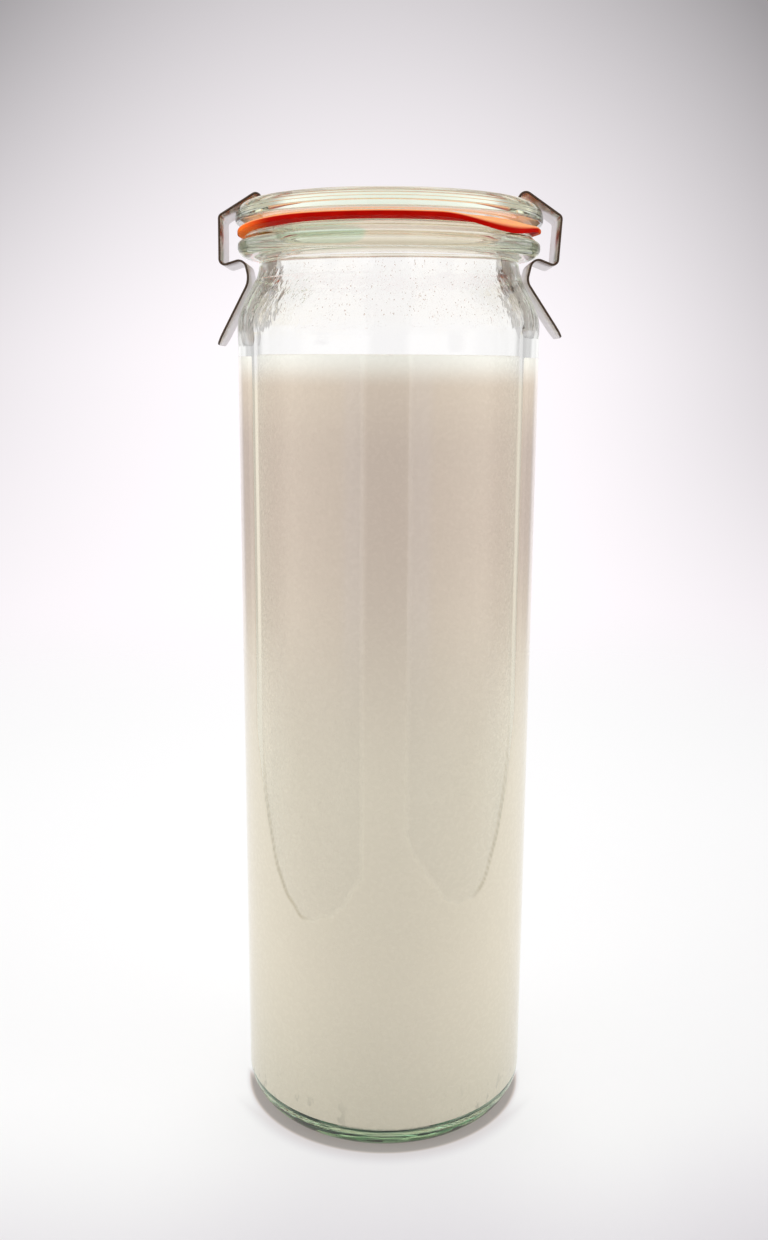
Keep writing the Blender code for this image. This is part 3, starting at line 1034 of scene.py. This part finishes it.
def clamp(name, side, knots, sizes, material):
    """One clamp: a flat strip with broken edges, swept along its centre line."""
    rows = strip_rows(knots, sizes.strip_width)
    half = sizes.strip_thickness / 2
    edge = STRIP_CORNER
    build = bmesh.new()
    sheared = build.faces.layers.float.new("sheared")
    sections = []
    for index, (point, half_width) in enumerate(rows):
        before = rows[max(index - 1, 0)][0]
        after = rows[min(index + 1, len(rows) - 1)][0]
        along = (after - before).normalized()
        normal = Vector((along.y, -along.x))
        outline = [
            (half_width - edge, half), (half_width, half - edge), (half_width, edge - half),
            (half_width - edge, -half), (edge - half_width, -half), (-half_width, edge - half),
            (-half_width, half - edge), (edge - half_width, half),
        ]
        section = []
        for across, out in outline:
            x = point.x + normal.x * out
            section.append(build.verts.new((side * x, side * across, point.y + normal.y * out)))
        sections.append(section)
    for near, far in zip(sections, sections[1:]):
        for index in range(len(near)):
            beside = (index + 1) % len(near)
            flat = index in STRIP_FLAT_SIDES
            face = build.faces.new((near[index], near[beside], far[beside], far[index]))
            face[sheared] = 0.0 if flat else 1.0
            face.smooth = flat
    for section in (sections[0], sections[-1]):
        build.faces.new(section)[sheared] = 1.0
    bmesh.ops.recalc_face_normals(build, faces=build.faces)
    return built_object(name, build, material)


def droplet_tree():
    """Geometry Nodes: flat drops at random places on a skin, turned to it, and nothing else."""
    group = bpy.data.node_groups.new("droplets", "GeometryNodeTree")
    face = group.interface
    face.new_socket("Skin", in_out="INPUT", socket_type="NodeSocketGeometry")
    kinds = {"Density": "Float", "Drop radius": "Float", "Seed": "Int", "Material": "Material"}
    sockets = {}
    for name, kind in kinds.items():
        socket = face.new_socket(name, in_out="INPUT", socket_type="NodeSocket" + kind)
        sockets[name] = socket.identifier
    face.new_socket("Droplets", in_out="OUTPUT", socket_type="NodeSocketGeometry")
    tree = Nodes(group)
    given = tree.node("NodeGroupInput")
    skin, density, radius, seed, finish = [Sum(tree, output) for output in given.outputs[:5]]
    scattered = {"Mesh": skin, "Density": density, "Seed": seed}
    spread = tree.node("GeometryNodeDistributePointsOnFaces", None, scattered)
    points = Sum(tree, spread.outputs["Points"])
    turn = Sum(tree, spread.outputs["Rotation"])
    drawn = {"Seed": seed, 2: DROPLET_LEAST, 3: 1}
    chance = tree.add("FunctionNodeRandomValue", {"data_type": "FLOAT"}, drawn, 1)
    size = chance * chance * radius
    lengths = {0: size, 1: size * DROPLET_LENGTH, 2: size * DROPLET_THICKNESS}
    flat = tree.add("ShaderNodeCombineXYZ", None, lengths)
    drop = tree.add("GeometryNodeMeshIcoSphere", None, {"Radius": 1, "Subdivisions": 1})
    placed = {"Points": points, "Instance": drop, "Rotation": turn, "Scale": flat}
    dots = tree.add("GeometryNodeInstanceOnPoints", None, placed)
    real = tree.add("GeometryNodeRealizeInstances", None, {0: dots})
    smooth = tree.add("GeometryNodeSetShadeSmooth", None, {0: real})
    done = tree.add("GeometryNodeSetMaterial", None, {"Geometry": smooth, "Material": finish})
    tree.node("NodeGroupOutput", None, {0: done})
    return group, sockets


def plain_mesh(thing):
    """Turns what the modifiers make into the object's own mesh, and removes them."""
    graph = bpy.context.evaluated_depsgraph_get()
    mesh = bpy.data.meshes.new_from_object(thing.evaluated_get(graph))
    thing.modifiers.clear()
    thing.data = mesh


# Operators


class JarOperator:
    bl_options = {"REGISTER", "UNDO"}

    def execute(self, context):
        self.build(context.scene.jar_sizes, context.scene.jar_colours)
        return {"FINISHED"}


class PRESERVING_OT_jar(JarOperator, bpy.types.Operator):
    """Glass body of the jar"""

    bl_idname = "preserving.jar"
    bl_label = "Jar"

    def build(self, sizes, colours):
        material = glass_material("jar_glass", colours.glass, JAR_WAVES)
        jar = turned("jar_glass_body", jar_profile(sizes), material, shape=rippled(sizes))
        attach(jar, "jar")
        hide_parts("jar_body")


class PRESERVING_OT_filling(JarOperator, bpy.types.Operator):
    """Pale filling, wet on the glass but for two bays at the front, where it is drawn back"""

    bl_idname = "preserving.filling"
    bl_label = "Filling"

    def build(self, sizes, colours):
        material = filling_material(colours)
        shape = filling_shape(sizes)
        filling = turned("cream", filling_profile(sizes), material, shape=shape, around=FILLING_AROUND)
        mark_tide(filling.data)
        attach(filling, "jar")
        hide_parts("filling")


class PRESERVING_OT_lid(JarOperator, bpy.types.Operator):
    """Glass lid with its sunk top and the ridge that centres the ring"""

    bl_idname = "preserving.lid"
    bl_label = "Lid"

    def build(self, sizes, colours):
        material = glass_material("lid_glass", colours.lid_glass, LID_WAVES)
        lid = turned("glass_lid", lid_profile(), material)
        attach(lid, "lid")
        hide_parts("lid")


class PRESERVING_OT_ring(JarOperator, bpy.types.Operator):
    """Flat rubber ring, sagging over the bead at the front right and at the left"""

    bl_idname = "preserving.ring"
    bl_label = "Sealing ring"

    def build(self, sizes, colours):
        middle = RING_HIGH[2] - RING_SLACK - SEEN_THICKNESS / 2

        def shape(radius, height, angle):
            stretch = SAG_STRETCH if height < middle else 1
            return radius, height - stretch * sag(radius, angle)

        profile = refined(ring_profile(sizes), closed=True)
        material = rubber_material(colours)
        ring = turned("rubber_ring", profile, material, closed=True, shape=shape, around=RING_AROUND)
        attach(ring, "lid")
        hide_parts("sealing_ring")


class PRESERVING_OT_clamps(JarOperator, bpy.types.Operator):
    """The two sprung steel clamps, each bent a little differently"""

    bl_idname = "preserving.clamps"
    bl_label = "Clamps"

    def build(self, sizes, colours):
        material = steel_material(colours)
        for name, side, knots in (("left", -1, LEFT_CLAMP), ("right", 1, RIGHT_CLAMP)):
            strip = clamp("steel_clamp_" + name, side, knots, sizes, material)
            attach(strip, "clamp_" + name)
            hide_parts("clamp_" + name)


class PRESERVING_OT_droplets(JarOperator, bpy.types.Operator):
    """Dried splashes on the glass above the filling"""

    bl_idname = "preserving.droplets"
    bl_label = "Droplets"

    def build(self, sizes, colours):
        at = jar_lines(sizes)
        low = at["shoulder_foot"] + DROPLET_MARGIN
        high = at["shoulder_top"] - DROPLET_MARGIN
        wall = [point for point in inner_wall(sizes) if low < point[1] < high]
        skin_line = [(radius - DROPLET_INSET, height) for radius, height in wall]
        droplets = turned("splash_dots", skin_line, None)
        material = droplet_material()
        group, sockets = droplet_tree()
        scatter = droplets.modifiers.new("scatter", "NODES")
        scatter.node_group = group
        scatter[sockets["Density"]] = sizes.droplet_density
        scatter[sockets["Drop radius"]] = sizes.droplet_size
        scatter[sockets["Seed"]] = sizes.droplet_seed
        scatter[sockets["Material"]] = material
        plain_mesh(droplets)
        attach(droplets, "jar")


class PRESERVING_OT_stage(JarOperator, bpy.types.Operator):
    """Pale floor, soft light, white surroundings and the camera"""

    bl_idname = "preserving.stage"
    bl_label = "Stage"

    def execute(self, context):
        make_floor()
        make_surroundings(context.scene)
        make_lamps()
        make_camera(context.scene)
        context.scene.view_settings.view_transform = "Standard"
        cycles = context.scene.cycles
        cycles.max_bounces = 24
        cycles.transmission_bounces = 24
        cycles.glossy_bounces = 12
        cycles.transparent_max_bounces = 32
        return {"FINISHED"}


# Stage


def floor_brightness(tree, place):
    """Painted brightness of the floor, with painted shade ahead of the jar, to the sides and to the right,
    and what share of it the jar's painted contact shadow leaves.
    """
    x, y, _ = tree.axes(place)
    from_contact = tree.distance(place, CONTACT_CENTRE)
    open_floor = y.step(*RISE_BACK).larger(y.step(*FALL_AHEAD))
    sides = abs(x - FLOOR_MIDDLE).step(*DIM_SIDES) * y.step(*DIM_SIDES_BACK)
    slant = x / (y + CAMERA_AWAY).larger(CAMERA_NEAREST)
    right = slant.step(*DIM_RIGHT) * y.step(*DIM_RIGHT_BACK)
    ahead = AHEAD_SHADE * abs(x).fall(*AHEAD_SIDES) * y.fall(*AHEAD_BACK)
    darkest = CONTACT_DARK - CONTACT_DARKER * tree.ray("Is Camera Ray")
    contact = from_contact.step(*CONTACT, darkest, CONTACT_LIGHT)
    side_edge = from_contact.step(*SIDE_EDGE) * y.step(*SIDE_EDGE_BACK)
    edged = contact + from_contact.step(*SOFT_EDGE).larger(side_edge)
    in_front = edged.larger(y.step(*CONTACT_BACK, darkest, 1))
    shadow = in_front.larger(tree.distance(place).step(*UNDER_BASE))
    return (open_floor - sides - ahead - right) * shadow, shadow


def floor_material():
    """Pale paper that glows to the camera and in the glass, with painted shadows in its glow and a painted
    darker shadow under and behind the jar where the glass shows it, and fades out far away.
    """
    material, tree = new_material("pale_floor")
    place = tree.coordinates("Object")
    level, shadow = floor_brightness(tree, place)
    through = tree.ray("Is Transmission Ray")
    seen = tree.ray("Is Camera Ray").larger(tree.ray("Is Glossy Ray")).larger(through)
    dimmed = tree.mix_colour(level.step(*DIM_LEVELS), FLOOR_DIM, WHITE)
    # Painted shadow of the floor under and behind the jar, as the glass shows it
    behind = tree.mix_colour(tree.axes(place)[1].step(*THROUGH_BACK), THROUGH_PAINTED_SHADOW, THROUGH_FAR)
    colour = tree.painted(FLOOR_SHADOW, (shadow.step(*SHADOW_LEVELS), dimmed), (through, behind))
    glow = tree.add("ShaderNodeEmission", None, {"Color": colour, "Strength": level})
    paper = tree.add("ShaderNodeBsdfDiffuse", None, {"Color": FLOOR_PAPER})
    clear = tree.add("ShaderNodeBsdfTransparent")
    shown = tree.mix_shader(FLOOR_GLOW * seen, paper, glow)
    fade = tree.distance(place).step(*FLOOR_FADE)
    tree.surface(tree.mix_shader(fade, shown, clear))
    return material


def make_floor():
    build = bmesh.new()
    bmesh.ops.create_circle(build, cap_ends=True, segments=96, radius=FLOOR_RADIUS)
    bmesh.ops.translate(build, verts=build.verts, vec=(0, 0, -FLOOR_DROP))
    built_object("floor", build, floor_material())


def backdrop_level(x, z):
    """Brightness behind the jar to the camera: less upwards, to the sides and at the right."""
    aside = (x - BACKDROP_MIDDLE) * (x - BACKDROP_MIDDLE)
    sides = aside * (BACKDROP_SIDES * (z + BACKDROP_LOW)).larger(0)
    right = x.step(*RIGHT_X) * (z.step(*RIGHT_LOW_Z) - z.step(*RIGHT_HIGH_Z))
    level = BACKDROP_LEVEL - BACKDROP_LIFT * z.larger(0).power(BACKDROP_CURVE) - sides - right
    return level.larger(abs(x).step(*BACKDROP_WIDE))


def mirrored_level(x, y, z):
    """Brightness of the room in the glass: a bright strip at each side, and dark beside the camera."""
    wide = abs(x)
    turned_away = wide / (1 - z * z).power(0.5)
    strip = (turned_away.step(*STRIP_START) - turned_away.step(*STRIP_END)) * x.step(*STRIP_X)
    room = (1 + wide.step(*ROOM_BRIGHT_WIDE) - wide.step(*ROOM_DARK_WIDE)) * z.step(*ROOM_Z)
    camera_side = BEHIND_CAMERA - wide.step(*BEHIND_CAMERA_WIDE)
    return room + strip + y.fall(*CAMERA_SIDE_Y) * (camera_side - room - strip)


def make_surroundings(scene):
    """Shades for the camera, for the glass and for what the surroundings light, each its own."""
    world = bpy.data.worlds.new("studio")
    world.use_nodes = True
    scene.world = world
    tree = Nodes(world.node_tree)
    x, y, z = tree.axes(tree.coordinates("Generated"))
    wide = abs(x)
    camera = tree.ray("Is Camera Ray")
    seen = tree.ray("Is Glossy Ray").larger(tree.ray("Is Transmission Ray"))
    lit = LIT_LEVEL + LIT_WIDE * wide + LIT_BACK * y.larger(0)
    shown = camera * backdrop_level(x, z) + seen * mirrored_level(x, y, z)
    level = shown + tree.ray("Is Diffuse Ray") * lit
    warm = seen * z.step(*WARM_HIGH_Z).larger(wide.step(*WARM_WIDE) * z.fall(*WARM_LOW_Z))
    tint = tree.painted(WHITE, (seen, ROOM_CLEAR), (warm, ROOM_WARM), (camera, BACKDROP_TINT))
    light = tree.add("ShaderNodeBackground", None, {"Color": tint, "Strength": level})
    tree.node("ShaderNodeOutputWorld", None, {"Surface": light})


def make_lamps():
    for name, place, size, power in LAMPS:
        light = bpy.data.lights.new(name, "AREA")
        light.shape = "DISK"
        light.size = size
        light.energy = power
        lamp = bpy.data.objects.new(name, light)
        lamp.location = place
        lamp.rotation_euler = (Vector(AIM) - Vector(place)).to_track_quat("-Z", "Y").to_euler()
        lamp.visible_camera = False
        lamp.visible_glossy = False
        lamp.visible_transmission = False
        bpy.context.scene.collection.objects.link(lamp)


def make_camera(scene):
    lens = bpy.data.cameras.new("camera")
    lens.sensor_fit = "VERTICAL"
    lens.sensor_height = SENSOR
    lens.lens = SENSOR * FOCAL_SHARE
    lens.clip_start = 0.01
    camera = bpy.data.objects.new("camera", lens)
    upright = Matrix.Rotation(YAW, 4, "Z") @ Matrix.Rotation(math.pi / 2 + PITCH, 4, "X")
    camera.matrix_world = Matrix.Translation(EYE) @ upright @ Matrix.Rotation(ROLL, 4, "Z")
    scene.collection.objects.link(camera)
    scene.camera = camera


class PRESERVING_PT_panel(bpy.types.Panel):
    bl_idname = "PRESERVING_PT_panel"
    bl_label = "Preserving jar"
    bl_space_type = "VIEW_3D"
    bl_region_type = "UI"
    bl_category = "Preserving jar"

    def draw(self, context):
        for group in (context.scene.jar_sizes, context.scene.jar_colours):
            for name in group.__annotations__:
                self.layout.prop(group, name)
        for operator in OPERATORS:
            self.layout.operator(operator.bl_idname)


OPERATORS = (
    PRESERVING_OT_jar,
    PRESERVING_OT_filling,
    PRESERVING_OT_lid,
    PRESERVING_OT_ring,
    PRESERVING_OT_clamps,
    PRESERVING_OT_droplets,
    PRESERVING_OT_stage,
)
CLASSES = (JarSizes, JarColours, *OPERATORS, PRESERVING_PT_panel)


def register():
    for kind in CLASSES:
        bpy.utils.register_class(kind)
    bpy.types.Scene.jar_sizes = PointerProperty(type=JarSizes)
    bpy.types.Scene.jar_colours = PointerProperty(type=JarColours)


def unregister():
    del bpy.types.Scene.jar_sizes
    del bpy.types.Scene.jar_colours
    for kind in reversed(CLASSES):
        bpy.utils.unregister_class(kind)


def main():
    register()
    bpy.ops.preserving.jar()
    bpy.ops.preserving.filling()
    bpy.ops.preserving.lid()
    bpy.ops.preserving.ring()
    bpy.ops.preserving.clamps()
    bpy.ops.preserving.droplets()
    bpy.ops.preserving.stage()


if __name__ == "__main__":
    main()
